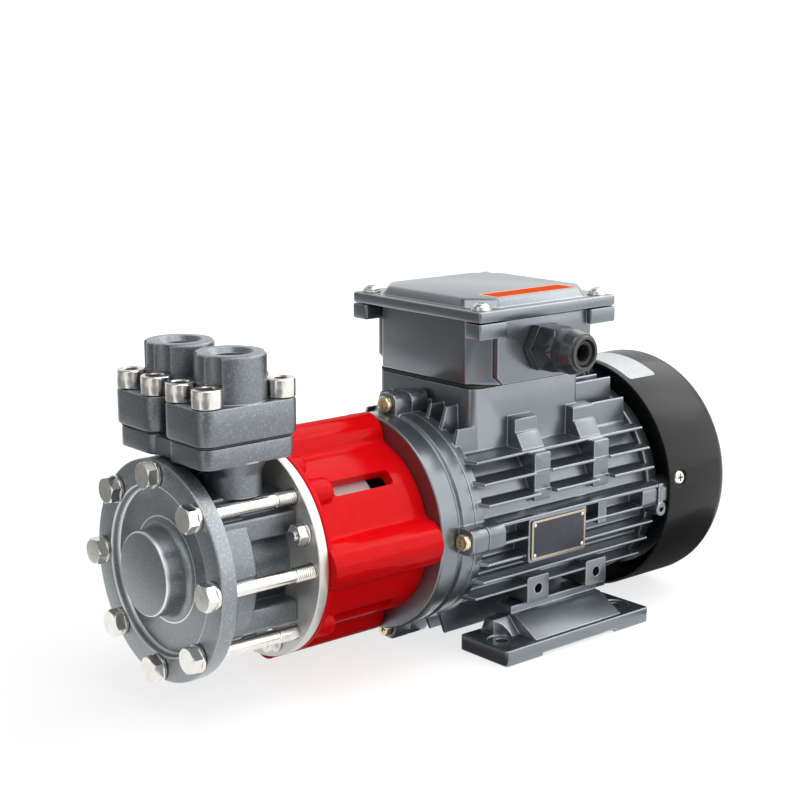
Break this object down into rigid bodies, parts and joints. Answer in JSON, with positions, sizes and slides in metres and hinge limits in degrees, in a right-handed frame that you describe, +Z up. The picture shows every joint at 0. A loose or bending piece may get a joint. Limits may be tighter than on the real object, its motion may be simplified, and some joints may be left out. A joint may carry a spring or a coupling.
{
  "type": "magnetic drive pump",
  "caption": "Peripheral impeller pump with twin top ports, driven through a sealed magnetic coupling by a foot-mounted finned electric motor, close coupled on a cast lantern.",
  "frame": {"origin": "on the floor plane under the middle of the unit's bounding box, feet resting on Z = 0", "axes": "+X along the shaft from the pump's front cover to the motor's fan cowl, +Z up through the ports and the terminal box, +Y away from the cable gland's side"},
  "size_m": [0.3598, 0.152, 0.1915],
  "materials": {
    "cast_iron_dark": "fine-grained dark grey casting with a dull metallic sheen, machined on its flat faces",
    "machined_steel": "turned steel with fine concentric tool marks",
    "stainless_steel": "bright stainless steel, smooth on the heads and rolled on the threads",
    "red_paint": "semi-gloss red enamel over a cast aluminium bracket",
    "grey_motor_paint": "blue-grey metallic paint over die cast aluminium, slightly pebbled",
    "black_steel_paint": "semi-gloss near-black paint over pressed sheet steel",
    "yellow_zinc": "yellow passivated zinc plating",
    "black_rubber": "matt black rubber",
    "black_nylon": "black glass-filled nylon, satin",
    "carbon_bush": "dull carbon bearing material",
    "terminal_moulding": "moulded grey thermoset",
    "aluminium_plate": "brushed aluminium, blank, with a pale border"
  },
  "bodies": {
    "pump_and_motor": {"front_cover": "cast_iron_dark", "casing_gasket": "black_rubber", "pump_casing": "cast_iron_dark", "front_bush": "carbon_bush", "rear_bush": "carbon_bush", "isolation_can": "stainless_steel", "adapter_ring": "machined_steel", "inlet_flange": "cast_iron_dark", "outlet_flange": "cast_iron_dark", "inlet_gasket": "black_rubber", "outlet_gasket": "black_rubber", "port_screw_1": "stainless_steel", "port_screw_2": "stainless_steel", "port_screw_3": "stainless_steel", "port_screw_4": "stainless_steel", "port_screw_5": "stainless_steel", "port_screw_6": "stainless_steel", "port_screw_7": "stainless_steel", "port_screw_8": "stainless_steel", "tie_bolt_1": "stainless_steel", "tie_bolt_2": "stainless_steel", "tie_bolt_3": "stainless_steel", "tie_bolt_4": "stainless_steel", "tie_bolt_5": "stainless_steel", "tie_bolt_6": "stainless_steel", "tie_bolt_7": "stainless_steel", "tie_bolt_8": "stainless_steel", "ring_nut_1": "stainless_steel", "ring_nut_2": "stainless_steel", "ring_nut_3": "stainless_steel", "ring_nut_4": "stainless_steel", "lantern": "red_paint", "front_endshield": "grey_motor_paint", "motor_housing": "grey_motor_paint", "stator_core": "machined_steel", "front_bearing": "machined_steel", "rear_bearing": "machined_steel", "rear_endshield": "grey_motor_paint", "fan_cover": "black_steel_paint", "foot_near": "grey_motor_paint", "foot_far": "grey_motor_paint", "terminal_box": "grey_motor_paint", "terminal_lid": "grey_motor_paint", "box_gasket": "black_rubber", "terminal_block": "terminal_moulding", "gland_body": "black_nylon", "gland_nut": "black_nylon", "gland_seal": "black_rubber", "endshield_screw_1": "yellow_zinc", "endshield_screw_2": "yellow_zinc", "endshield_screw_3": "yellow_zinc", "endshield_screw_4": "yellow_zinc", "nameplate": "aluminium_plate"},
    "drive_rotor": {"motor_shaft": "machined_steel", "rotor_core": "machined_steel", "fan": "black_nylon", "outer_magnet_rotor": "machined_steel"},
    "pump_rotor": {"impeller": "stainless_steel", "pump_shaft": "stainless_steel", "inner_magnet_rotor": "stainless_steel"}
  },
  "joints": [
    {"name": "motor_spin", "type": "hinge", "parent": "pump_and_motor", "child": "drive_rotor", "pos_m": [-0.0387, 0.00455, 0.071], "axis": [1, 0, 0], "continuous": true},
    {"name": "impeller_spin", "type": "hinge", "parent": "pump_and_motor", "child": "pump_rotor", "pos_m": [-0.1287, 0.00455, 0.071], "axis": [1, 0, 0], "continuous": true}
  ],
  "couplings": [
    {"joint": "impeller_spin", "follows": "motor_spin", "ratio": 1}
  ]
}
